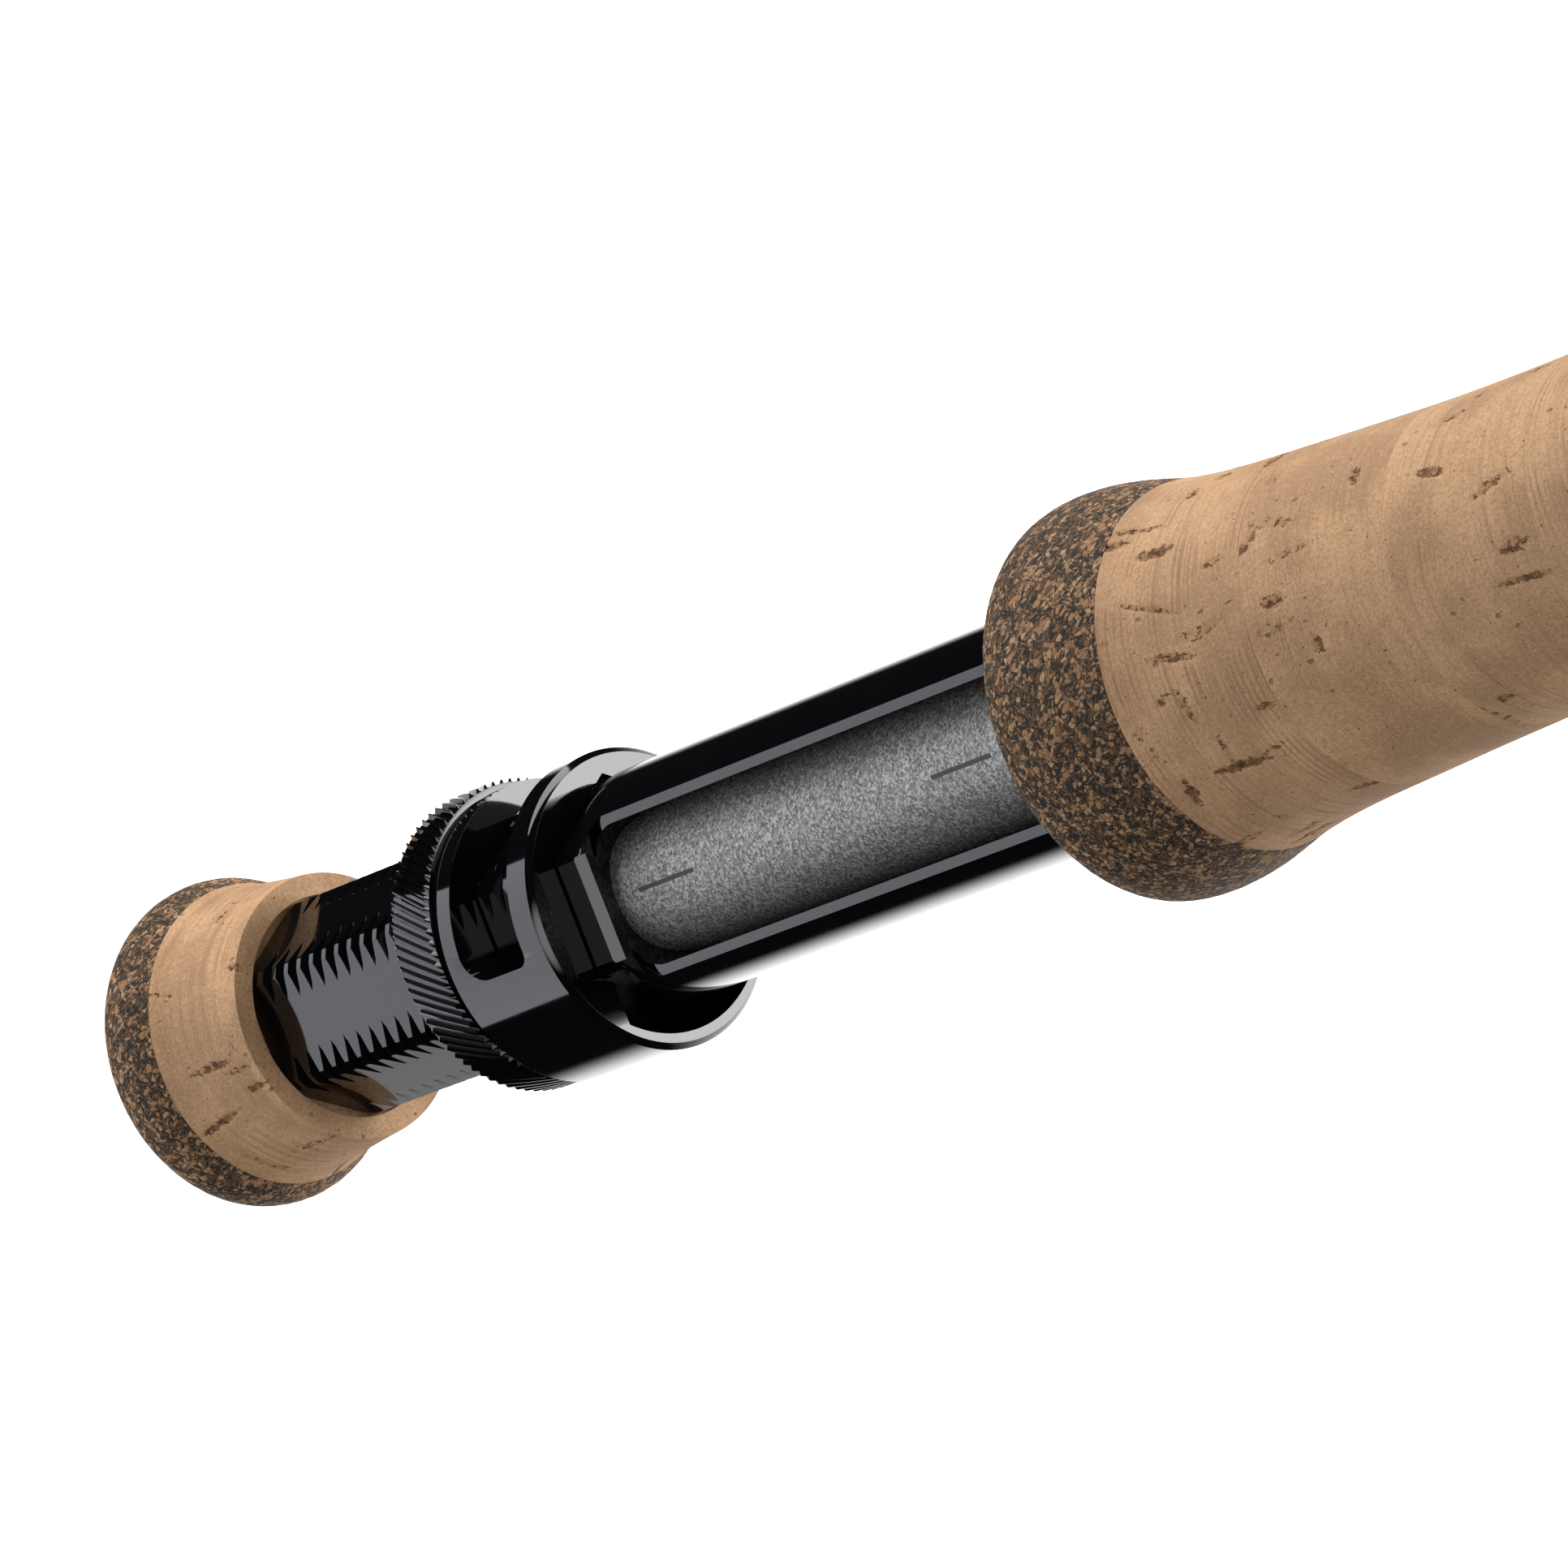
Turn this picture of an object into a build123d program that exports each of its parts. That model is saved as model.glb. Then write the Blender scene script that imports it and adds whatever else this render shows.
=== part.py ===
"""Handle section of a multi-piece fly rod: fighting butt, hexagonal reel seat with a screw-locked
sliding hood, cork grip and the first length of blank up to its spigot ferrule.

Millimetres. +Z runs up the rod's axis from the flat end of the butt, which is the origin. The reel's
foot lies along the seat on the -Y side. The seat's two windows face -X and +X."""

import os

from build123d import *

os.makedirs("parts", exist_ok=True)

# ---- Driving dimensions ----------------------------------------------------------------------

# Fighting butt: a rubberised-cork cap and a natural cork ring in front of it.
butt_burl_length = 6.35
butt_cork_length = 9.3
butt_end_radius = 10.4
butt_max_radius = 13.4
butt_max_height = 3.3
butt_line_radius = 12.35
butt_waist_radius = 11.35
butt_rim_radius = 10.85
stud_radius = 5.9
stud_floor = 2.5
stud_length = 24.0
blank_setback = 1.0

# Seat barrel: threaded hexagon at the back, round with two side windows at the front.
seat_exposed_length = 89.85
seat_recess_depth = 1.2
barrel_end_margin = 0.15
barrel_radius = 9.0
barrel_bore_radius = 6.0
hex_flat_depth = 1.1
hood_station = 37.3
shoulder_gap = 2.8
thread_crest_depth = 0.15
thread_depth = 0.7
thread_pitch = 1.6
thread_crest_width = 0.5
thread_root_width = 0.2
thread_lead_in = 1.5
thread_count = 20
window_flat_depth = 2.6
pocket_half_height = 6.6
pocket_corner_radius = 3.6
window_half_height = 5.57
window_corner_radius = 3.0
window_length = 51.75
edge_break = 0.3

# Grey sleeve seen through the windows, and the tape arbors that centre the blank in it.
insert_wall = 0.7
arbor_count = 3
arbor_length = 10.0
arbor_margin = 10.0

# Sliding hood, its washer and retaining ring, and the lock nut.
hood_wall = 2.75
hood_drop = 0.6
hood_length = 11.3
hood_front_chamfer = 0.45
hood_rear_chamfer = 0.3
slot_front_web = 2.6
slot_rear_web = 1.8
slot_floor_y = -2.0
slot_rear_corner = 2.4
slot_front_corner = 1.0
mouth_half_width = 6.7
mouth_ceiling_y = -3.35
foot_height = 2.15
mouth_corner_radius = 2.0
mouth_depth = 8.5
washer_thickness = 0.4
washer_width = 0.85
nut_knurl_height = 1.8
nut_length = 4.6
nut_chamfer = 0.35
nut_neck_wall = 1.05
nut_neck_length = 1.3
retainer_wire_radius = 0.18
retainer_setback = 0.75

# Grip: rubberised-cork ring, natural cork rings, rubberised-cork ring, and the fixed hood in its rear.
grip_burl_rear_length = 11.0
cork_ring_length = 12.7
cork_ring_count = 12
grip_burl_front_length = 6.35
grip_rear_face_width = 1.0
grip_rear_round = 1.6
grip_line_radius = 13.4
grip_waist_radius = 11.1
grip_swell_radius = 12.6
grip_neck_radius = 11.3
grip_flare_radius = 13.4
grip_nose_radius = 9.2
grip_nose_length = 9.0
fixed_hood_wall = 1.05
fixed_hood_margin = 1.0
fixed_mouth_wall = 2.0

# Blank, spigot ferrule and bindings.
blank_butt_radius = 4.7
blank_tip_radius = 3.9
blank_wall = 1.1
section_length = 391.9
spigot_radius = 2.75
spigot_exposed_length = 30.0
spigot_buried_length = 32.0
spigot_step = 0.25
ferrule_wrap_length = 14.0
ferrule_wrap_setback = 1.0
wrap_thickness = 0.4
check_length = 5.0
check_rear_radius = 7.4
check_front_radius = 5.6
keeper_gap = 10.0
keeper_wire_radius = 0.4
keeper_foot_length = 7.0
keeper_loop_length = 6.0
keeper_loop_height = 3.4
keeper_bend_radius = 1.0
keeper_wrap_thickness = 1.1

# Clearances, all radial or face to face.
glue_gap = 0.05
running_gap = 0.05
thread_gap = 0.2
hex_gap = 0.2
washer_gap = 0.1

# ---- Radii across the seat, each tied to the one inside it --------------------------------------

hex_across_flats = 2 * (barrel_radius - hex_flat_depth)
thread_crest_radius = barrel_radius - thread_crest_depth
thread_root_radius = thread_crest_radius - thread_depth
window_flat_distance = barrel_radius - window_flat_depth
hood_radius = barrel_radius + hood_wall
mouth_radius = barrel_radius + foot_height
nut_bore_radius = thread_crest_radius + thread_gap
nut_neck_radius = nut_bore_radius + nut_neck_wall
nut_radius = nut_neck_radius + nut_knurl_height
washer_bore_radius = nut_neck_radius + running_gap
fixed_hood_radius = mouth_radius + fixed_hood_wall
grip_rear_face_radius = fixed_hood_radius + grip_rear_face_width
grip_max_radius = grip_rear_face_radius + grip_rear_round
blank_hole_radius = blank_butt_radius + glue_gap

# ---- Stations along the axis, worked out from the driving dimensions ---------------------------

butt_length = butt_burl_length + butt_cork_length
barrel_start = butt_length - seat_recess_depth
hood_front = butt_length + hood_station
hood_rear = hood_front - hood_length
hex_end = hood_front + shoulder_gap
grip_start = butt_length + seat_exposed_length
barrel_end = grip_start + grip_burl_rear_length - barrel_end_margin
fixed_hood_length = grip_burl_rear_length - fixed_hood_margin
fixed_mouth_depth = fixed_hood_length - fixed_mouth_wall
grip_length = grip_burl_rear_length + cork_ring_count * cork_ring_length + grip_burl_front_length
grip_end = grip_start + grip_length
stud_end = stud_floor + stud_length
blank_start = stud_end + blank_setback
insert_radius = barrel_bore_radius - glue_gap
insert_bore_radius = insert_radius - insert_wall
taper_start = grip_end + check_length
spigot_start = section_length - spigot_buried_length


def blank_radius(z):
    """Outer radius of the blank: parallel through the handle, then an even taper to the tip."""
    share = max(0.0, z - taper_start) / (section_length - taper_start)
    return blank_butt_radius + share * (blank_tip_radius - blank_butt_radius)


def save(part, label):
    """Labels a finished piece and writes it to its own file."""
    part.label = label
    export_step(part, f"parts/{label}.step")


def slab(low, high, radius=2 * grip_max_radius):
    """A round slab between two stations, for slicing a long form into rings."""
    with BuildPart() as disc:
        with BuildSketch(Plane.XY.offset(low)):
            Circle(radius)
        extrude(amount=high - low)
    return disc.part


def tube(low, high, outer, inner):
    """A plain tube between two stations."""
    with BuildPart() as pipe:
        with BuildSketch(Plane.XY.offset(low)):
            Circle(outer)
            Circle(inner, mode=Mode.SUBTRACT)
        extrude(amount=high - low)
    return pipe.part


# ---- Fighting butt -----------------------------------------------------------------------------

with BuildPart() as butt_form:
    with BuildSketch(Plane.XZ):
        with BuildLine():
            Line((0, 0), (butt_end_radius, 0))
            Spline(
                (butt_end_radius, 0),
                (butt_max_radius, butt_max_height),
                tangents=((1, 0.1), (0, 1)),
            )
            Spline(
                (butt_max_radius, butt_max_height),
                (butt_line_radius, butt_burl_length),
                (butt_waist_radius, butt_burl_length + butt_cork_length / 2),
                (butt_rim_radius, butt_length),
                tangents=((0, 1), (-0.08, 1)),
            )
            Line((butt_rim_radius, butt_length), (0, butt_length))
            Line((0, butt_length), (0, 0))
        make_face()
    revolve(axis=Axis.Z)

with BuildPart() as butt_burl:
    add(butt_form.part)
    add(slab(0, butt_burl_length), mode=Mode.INTERSECT)
    add(slab(stud_floor - glue_gap, butt_burl_length, stud_radius + glue_gap), mode=Mode.SUBTRACT)
save(butt_burl.part, "butt_burl")

with BuildPart() as butt_cork:
    add(butt_form.part)
    add(slab(butt_burl_length, butt_length), mode=Mode.INTERSECT)
    add(slab(butt_burl_length, butt_length, stud_radius + glue_gap), mode=Mode.SUBTRACT)
    add(slab(barrel_start, butt_length, barrel_radius + glue_gap), mode=Mode.SUBTRACT)
save(butt_cork.part, "butt_cork")

with BuildPart() as butt_stud:
    add(slab(stud_floor, stud_end, stud_radius))
    chamfer(butt_stud.edges(), edge_break)
save(butt_stud.part, "butt_stud")

# ---- Seat barrel -------------------------------------------------------------------------------

thread_start = barrel_start + thread_lead_in
flank_width = (thread_pitch - thread_crest_width - thread_root_width) / 2

thread_outline = []
for turn in range(thread_count):
    groove = thread_start + turn * thread_pitch
    thread_outline += [
        (thread_crest_radius, groove),
        (thread_root_radius, groove + flank_width),
        (thread_root_radius, groove + flank_width + thread_root_width),
        (thread_crest_radius, groove + 2 * flank_width + thread_root_width),
    ]

with BuildPart() as seat_barrel:
    with BuildSketch(Plane.XZ):
        with BuildLine():
            Polyline(
                (barrel_bore_radius, barrel_start),
                (thread_crest_radius - 2 * edge_break, barrel_start),
                (thread_crest_radius, barrel_start + 2 * edge_break),
                *thread_outline,
                (thread_crest_radius, hex_end - edge_break),
                (barrel_radius, hex_end),
                (barrel_radius, barrel_end - edge_break),
                (barrel_radius - edge_break, barrel_end),
                (barrel_bore_radius, barrel_end),
                close=True,
            )
        make_face()
    revolve(axis=Axis.Z)
    with BuildSketch(Plane.XY.offset(barrel_start)):
        Circle(2 * barrel_radius)
        RegularPolygon(hex_across_flats / 2, 6, major_radius=False, rotation=30, mode=Mode.SUBTRACT)
    extrude(amount=hex_end - barrel_start, mode=Mode.SUBTRACT)
    for side in (-1, 1):
        window_plane = Plane(
            origin=(side * window_flat_distance, 0, hex_end + window_length / 2),
            x_dir=(0, 0, 1),
            z_dir=(side, 0, 0),
        )
        with BuildSketch(window_plane):
            RectangleRounded(window_length, 2 * pocket_half_height, pocket_corner_radius)
        extrude(amount=barrel_radius, mode=Mode.SUBTRACT)
        with BuildSketch(window_plane):
            RectangleRounded(window_length, 2 * window_half_height, window_corner_radius)
        extrude(amount=-window_flat_distance, mode=Mode.SUBTRACT)
save(seat_barrel.part, "seat_barrel")

save(
    tube(stud_end + glue_gap, barrel_end - edge_break, insert_radius, insert_bore_radius),
    "seat_insert",
)

# ---- Blank in the handle, its arbors and the ferrule -------------------------------------------

with BuildPart() as blank:
    with BuildSketch(Plane.XZ):
        with BuildLine():
            Polyline(
                (blank_butt_radius - blank_wall, blank_start),
                (blank_butt_radius, blank_start),
                (blank_butt_radius, taper_start),
                (blank_tip_radius, section_length),
                (spigot_radius - spigot_step + glue_gap, section_length),
                (spigot_radius - spigot_step + glue_gap, spigot_start - glue_gap),
                (spigot_radius - blank_wall / 2, spigot_start - glue_gap - blank_wall),
                (blank_butt_radius - blank_wall, taper_start),
                close=True,
            )
        make_face()
    revolve(axis=Axis.Z)
save(blank.part, "blank")

arbor_span = barrel_end - blank_start - 2 * arbor_margin - arbor_length
arbor_pitch = arbor_span / (arbor_count - 1)
for index in range(arbor_count):
    arbor_start = blank_start + arbor_margin + index * arbor_pitch
    arbor = tube(
        arbor_start,
        arbor_start + arbor_length,
        insert_bore_radius - glue_gap,
        blank_butt_radius + glue_gap,
    )
    save(arbor, f"blank_arbor_{index + 1}")

with BuildPart() as ferrule_spigot:
    add(slab(spigot_start, section_length, spigot_radius - spigot_step))
    add(slab(section_length, section_length + spigot_exposed_length, spigot_radius))
    chamfer(ferrule_spigot.edges().group_by(Axis.Z)[-1], 2 * edge_break)
save(ferrule_spigot.part, "ferrule_spigot")


def binding(low, length, thickness):
    """A thread binding over the blank, rounded off at both ends and following its taper."""
    high = low + length
    low_radius = blank_radius(low) + glue_gap
    high_radius = blank_radius(high) + glue_gap
    with BuildPart() as wrap:
        with BuildSketch(Plane.XZ):
            with BuildLine():
                Polyline(
                    (low_radius, low),
                    (high_radius, high),
                    (high_radius + thickness / 2, high),
                    (high_radius + thickness, high - thickness),
                    (low_radius + thickness, low + thickness),
                    (low_radius + thickness / 2, low),
                    close=True,
                )
            make_face()
        revolve(axis=Axis.Z)
    return wrap.part


save(
    binding(
        section_length - ferrule_wrap_setback - ferrule_wrap_length,
        ferrule_wrap_length,
        wrap_thickness,
    ),
    "ferrule_wrap",
)

# ---- Hook keeper: a wire bow on the -Y side, bound down by two wraps ---------------------------

keeper_start = grip_end + check_length + keeper_gap
keeper_loop_start = keeper_start + keeper_foot_length
keeper_loop_end = keeper_loop_start + keeper_loop_length
keeper_end = keeper_loop_end + keeper_foot_length


def keeper(radius, growth=0.0):
    """The keeper's wire, or a slightly longer and fatter copy of it to cut its bed in a wrap."""
    foot_y = -(blank_radius(keeper_start) + 2 * glue_gap + keeper_wire_radius)
    with BuildPart() as wire:
        with BuildLine() as path:
            FilletPolyline(
                (0, foot_y, keeper_start - growth),
                (0, foot_y, keeper_loop_start),
                (0, foot_y - keeper_loop_height, keeper_loop_start + keeper_bend_radius),
                (0, foot_y - keeper_loop_height, keeper_loop_end - keeper_bend_radius),
                (0, foot_y, keeper_loop_end),
                (0, foot_y, keeper_end + growth),
                radius=keeper_bend_radius,
            )
        with BuildSketch(Plane(origin=path.line @ 0, z_dir=path.line % 0)):
            Circle(radius)
        sweep()
    return wire.part


save(keeper(keeper_wire_radius), "hook_keeper")

keeper_bed = keeper(keeper_wire_radius + glue_gap, growth=1.0)
wrap_length = keeper_foot_length - 2 * keeper_bend_radius
for label, low in (
    ("keeper_wrap_rear", keeper_start + keeper_bend_radius / 2),
    ("keeper_wrap_front", keeper_end - keeper_bend_radius / 2 - wrap_length),
):
    with BuildPart() as keeper_wrap:
        add(binding(low, wrap_length, keeper_wrap_thickness))
        add(keeper_bed, mode=Mode.SUBTRACT)
    save(keeper_wrap.part, label)

# ---- Sliding hood ------------------------------------------------------------------------------

retainer_z = hood_rear + retainer_setback
groove_half_width = retainer_wire_radius + running_gap
groove_reach = nut_neck_radius + running_gap + groove_half_width

with BuildPart() as sliding_hood:
    with BuildSketch(Plane.XY.offset(hood_rear)):
        with Locations((0, -hood_drop)):
            Circle(hood_radius)
    extrude(amount=hood_length)
    chamfer(sliding_hood.edges().group_by(Axis.Z)[-1], hood_front_chamfer)
    chamfer(sliding_hood.edges().group_by(Axis.Z)[0], hood_rear_chamfer)
    with BuildSketch(Plane.XY.offset(hood_rear)):
        RegularPolygon(hex_across_flats / 2 + hex_gap, 6, major_radius=False, rotation=30)
    extrude(amount=hood_length, mode=Mode.SUBTRACT)
    # The slot milled across the top, seen from -X as a U with rounded lower corners.
    slot_low = hood_rear + slot_rear_web
    slot_high = hood_front - slot_front_web
    with BuildSketch(Plane.YZ):
        with BuildLine():
            FilletPolyline(
                (2 * hood_radius, slot_low),
                (slot_floor_y, slot_low),
                (slot_floor_y, slot_high),
                (2 * hood_radius, slot_high),
                radius=[slot_rear_corner, slot_front_corner],
            )
            Line((2 * hood_radius, slot_high), (2 * hood_radius, slot_low))
        make_face()
    extrude(amount=2 * hood_radius, both=True, mode=Mode.SUBTRACT)
    # The mouth that swallows the end of the reel's foot, open to the front.
    with BuildSketch(Plane.XY.offset(hood_front - mouth_depth)) as mouth:
        Circle(mouth_radius)
        with Locations((0, mouth_ceiling_y)):
            Rectangle(
                2 * mouth_half_width,
                2 * mouth_radius,
                align=(Align.CENTER, Align.MAX),
                mode=Mode.INTERSECT,
            )
        fillet(mouth.vertices().group_by(Axis.Y)[1], mouth_corner_radius)
    extrude(amount=mouth_depth, mode=Mode.SUBTRACT)
    # The counterbore for the nut's neck, and the groove for its retaining ring.
    add(
        slab(hood_rear, hood_rear + nut_neck_length, washer_bore_radius),
        mode=Mode.SUBTRACT,
    )
    add(
        slab(retainer_z - groove_half_width, retainer_z + groove_half_width, groove_reach),
        mode=Mode.SUBTRACT,
    )
save(sliding_hood.part, "sliding_hood")

save(
    tube(
        hood_rear - washer_thickness,
        hood_rear,
        washer_bore_radius + washer_width,
        washer_bore_radius,
    ),
    "thrust_washer",
)

with BuildPart() as nut_retainer:
    with BuildSketch(Plane.XZ):
        with Locations((nut_neck_radius + running_gap, retainer_z)):
            Circle(retainer_wire_radius)
    revolve(axis=Axis.Z)
save(nut_retainer.part, "nut_retainer")

# ---- Lock nut ----------------------------------------------------------------------------------

nut_front = hood_rear - washer_thickness - washer_gap
nut_rear = nut_front - nut_length
neck_end = hood_rear + nut_neck_length - washer_gap

with BuildPart() as lock_nut:
    add(slab(nut_rear, nut_front, nut_radius))
    chamfer(lock_nut.edges(), nut_chamfer)
    add(slab(nut_front, neck_end, nut_neck_radius))
    add(
        tube(
            retainer_z - groove_half_width,
            retainer_z + groove_half_width,
            nut_neck_radius + running_gap,
            nut_neck_radius - retainer_wire_radius,
        ),
        mode=Mode.SUBTRACT,
    )
    add(slab(nut_rear, neck_end, nut_bore_radius), mode=Mode.SUBTRACT)
    chamfer(
        lock_nut.edges().filter_by(GeomType.CIRCLE).group_by(SortBy.RADIUS)[0].group_by(Axis.Z)[0],
        edge_break,
    )
save(lock_nut.part, "lock_nut")

# ---- Grip --------------------------------------------------------------------------------------

crown_z = grip_start + 0.3 * grip_burl_rear_length
waist_z = grip_start + 0.28 * grip_length
swell_z = grip_start + 0.574 * grip_length
neck_z = grip_start + 0.787 * grip_length
flare_z = grip_end - grip_nose_length

with BuildPart() as grip_form:
    with BuildSketch(Plane.XZ):
        with BuildLine():
            Line((0, grip_start), (grip_rear_face_radius, grip_start))
            Spline(
                (grip_rear_face_radius, grip_start),
                (grip_max_radius, crown_z),
                tangents=((1, 0.25), (0, 1)),
            )
            Spline(
                (grip_max_radius, crown_z),
                (grip_line_radius, grip_start + grip_burl_rear_length),
                (0.45 * grip_line_radius + 0.55 * grip_waist_radius, grip_start + 0.132 * grip_length),
                (grip_waist_radius, waist_z),
                tangents=((0, 1), (0, 1)),
            )
            for low, high in (
                ((grip_waist_radius, waist_z), (grip_swell_radius, swell_z)),
                ((grip_swell_radius, swell_z), (grip_neck_radius, neck_z)),
                ((grip_neck_radius, neck_z), (grip_flare_radius, flare_z)),
            ):
                Spline(low, high, tangents=((0, 1), (0, 1)))
            Spline(
                (grip_flare_radius, flare_z),
                (grip_nose_radius, grip_end),
                tangents=((0, 1), (-1, 0.3)),
            )
            Line((grip_nose_radius, grip_end), (0, grip_end))
            Line((0, grip_end), (0, grip_start))
        make_face()
    revolve(axis=Axis.Z)

burl_rear_end = grip_start + grip_burl_rear_length
fixed_hood_end = grip_start + fixed_hood_length

with BuildPart() as grip_burl_rear:
    add(grip_form.part)
    add(slab(grip_start, burl_rear_end), mode=Mode.INTERSECT)
    add(
        slab(grip_start, fixed_hood_end + glue_gap, fixed_hood_radius + glue_gap),
        mode=Mode.SUBTRACT,
    )
    add(slab(grip_start, barrel_end + glue_gap, barrel_radius + glue_gap), mode=Mode.SUBTRACT)
    add(slab(grip_start, burl_rear_end, blank_hole_radius), mode=Mode.SUBTRACT)
save(grip_burl_rear.part, "grip_burl_rear")

for index in range(cork_ring_count):
    ring_start = burl_rear_end + index * cork_ring_length
    with BuildPart() as cork_ring:
        add(grip_form.part)
        add(slab(ring_start, ring_start + cork_ring_length), mode=Mode.INTERSECT)
        add(slab(ring_start, ring_start + cork_ring_length, blank_hole_radius), mode=Mode.SUBTRACT)
    save(cork_ring.part, f"cork_ring_{index + 1:02d}")

burl_front_start = grip_end - grip_burl_front_length
with BuildPart() as grip_burl_front:
    add(grip_form.part)
    add(slab(burl_front_start, grip_end), mode=Mode.INTERSECT)
    add(slab(burl_front_start, grip_end, blank_hole_radius), mode=Mode.SUBTRACT)
save(grip_burl_front.part, "grip_burl_front")

with BuildPart() as fixed_hood:
    add(slab(grip_start, fixed_hood_end, fixed_hood_radius))
    chamfer(fixed_hood.edges(), edge_break)
    add(slab(grip_start, fixed_hood_end, barrel_radius + glue_gap), mode=Mode.SUBTRACT)
    with BuildSketch(Plane.XY.offset(grip_start)) as fixed_mouth:
        Circle(mouth_radius)
        with Locations((0, mouth_ceiling_y)):
            Rectangle(
                2 * mouth_half_width,
                2 * mouth_radius,
                align=(Align.CENTER, Align.MAX),
                mode=Mode.INTERSECT,
            )
        fillet(fixed_mouth.vertices().group_by(Axis.Y)[1], mouth_corner_radius)
    extrude(amount=fixed_mouth_depth, mode=Mode.SUBTRACT)
save(fixed_hood.part, "fixed_hood")

with BuildPart() as winding_check:
    with BuildSketch(Plane.XZ):
        with BuildLine():
            Polyline(
                (blank_hole_radius, grip_end),
                (check_rear_radius, grip_end),
                (check_rear_radius, grip_end + check_length / 3),
                (check_front_radius, grip_end + check_length),
                (blank_hole_radius, grip_end + check_length),
                close=True,
            )
        make_face()
    revolve(axis=Axis.Z)
save(winding_check.part, "winding_check")
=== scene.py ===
"""Handle section of a fly rod: fighting butt, reel seat with a screw-locked sliding hood, cork grip
and the first length of blank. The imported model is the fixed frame, and these pieces are its looks.

Metres, with +Z up the rod's axis from the flat end of the butt. The reel's foot lies on the -Y side."""

import math

import bmesh
import bpy
import numpy as np
from bpy.props import FloatProperty, FloatVectorProperty, IntProperty, PointerProperty
from mathutils import Matrix, Vector, noise


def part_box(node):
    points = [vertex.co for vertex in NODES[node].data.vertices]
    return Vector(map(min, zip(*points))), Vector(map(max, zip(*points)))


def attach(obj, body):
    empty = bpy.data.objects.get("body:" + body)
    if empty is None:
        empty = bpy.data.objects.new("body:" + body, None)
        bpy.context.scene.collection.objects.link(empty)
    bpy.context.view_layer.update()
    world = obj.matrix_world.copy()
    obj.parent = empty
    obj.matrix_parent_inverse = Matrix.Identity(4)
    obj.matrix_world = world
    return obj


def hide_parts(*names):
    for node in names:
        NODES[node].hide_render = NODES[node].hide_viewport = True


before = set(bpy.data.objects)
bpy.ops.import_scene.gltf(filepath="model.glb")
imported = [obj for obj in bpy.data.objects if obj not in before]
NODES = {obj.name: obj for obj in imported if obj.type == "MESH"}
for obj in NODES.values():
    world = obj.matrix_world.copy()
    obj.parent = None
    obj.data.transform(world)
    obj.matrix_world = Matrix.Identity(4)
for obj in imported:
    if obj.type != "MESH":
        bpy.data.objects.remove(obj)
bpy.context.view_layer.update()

bl_info = {
    "name": "Fly Rod Handle",
    "version": (1, 0, 0),
    "blender": (4, 5, 0),
    "location": "3D View > Sidebar > Fly Rod",
    "description": "Builds the finished pieces of a fly rod's handle around its packed model",
    "category": "Object",
}

MM = 0.001
SHARP_ANGLE = math.radians(32)
FINISH = "_finish"


# ---- Sizes and colours that a user would change -------------------------------------------------


def length(name, text, millimetres):
    """A length property, given in millimetres."""
    return FloatProperty(name=name, description=text, default=millimetres * MM, unit="LENGTH", precision=5)


def colour(name, text, value):
    """A colour property."""
    return FloatVectorProperty(
        name=name, description=text, default=value, size=3, subtype="COLOR", min=0.0, max=1.0
    )


def brightness(name, text, value):
    """A brightness property."""
    return FloatProperty(name=name, description="Brightness of " + text, default=value, min=0.0)


class RodSeatSettings(bpy.types.PropertyGroup):
    """Sizes of the reel seat's turned and milled metal."""

    thread_crest: length("Thread crest radius", "Outer radius of the thread on the hexagon", 8.85)
    thread_depth: length("Thread depth", "Depth of the thread's groove", 0.7)
    thread_pitch: length("Thread pitch", "Rise of the thread in one turn", 1.6)
    thread_turns: IntProperty(name="Thread turns", description="Turns of the thread", default=20, min=1)
    barrel_bore: length("Barrel bore", "Radius of the barrel's bore", 6.0)
    hexagon_flat: length("Hexagon flat", "Distance from the axis to the hexagon's flats", 7.9)
    shoulder_gap: length("Shoulder gap", "From the hood's front to the round barrel", 2.8)
    window_length: length("Window length", "Length of the side windows along the rod", 51.75)
    pocket_floor: length("Pocket floor", "Distance from the axis to the ledge round a window", 6.4)
    edge_break: length("Edge break", "Width of the chamfer on milled edges", 0.12)
    knurl_count: IntProperty(
        name="Knurl ridges", description="Ridges around the lock nut", default=84, min=8
    )
    knurl_depth: length("Knurl depth", "Height of the lock nut's ridges", 0.34)
    knurl_slant: FloatProperty(
        name="Knurl slant",
        description="Angle of the lock nut's ridges to the rod's axis",
        default=math.radians(31),
        subtype="ANGLE",
    )


class RodCorkSettings(bpy.types.PropertyGroup):
    """Character of the natural and the rubberised cork."""

    seed: IntProperty(name="Seed", description="Chooses where the cork's marks fall", default=11)
    marks: IntProperty(name="Marks", description="Bark pores on each cork ring", default=24, min=0)
    mark_depth: length("Mark depth", "Depth of the deepest bark pores", 0.22)
    cork_light: colour("Pale cork", "Cork between the growth lines", (0.66, 0.400, 0.212))
    cork_dark: colour("Dark cork", "Darker patches of the cork", (0.46, 0.272, 0.140))
    pore: colour("Bark pore", "Brown of the bark pores", (0.13, 0.055, 0.022))
    burl_rubber: colour("Rubber", "Rubber that binds the cork granules", (0.030, 0.025, 0.018))
    burl_granule: colour("Granule", "Cork granules in the rubber", (0.43, 0.230, 0.108))


class RodFinishSettings(bpy.types.PropertyGroup):
    """Metal, carbon and thread finishes."""

    anodised: colour("Anodised black", "Black of the seat and hoods", (0.0018, 0.0020, 0.0026))
    panel: colour("Panel grey", "Bead-blasted sleeve in the windows", (0.19, 0.185, 0.175))
    dash: colour("Panel dash", "Etched dashes on the sleeve", (0.035, 0.035, 0.037))
    thread: colour("Binding thread", "Thread of the bindings", (0.018, 0.018, 0.020))


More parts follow.
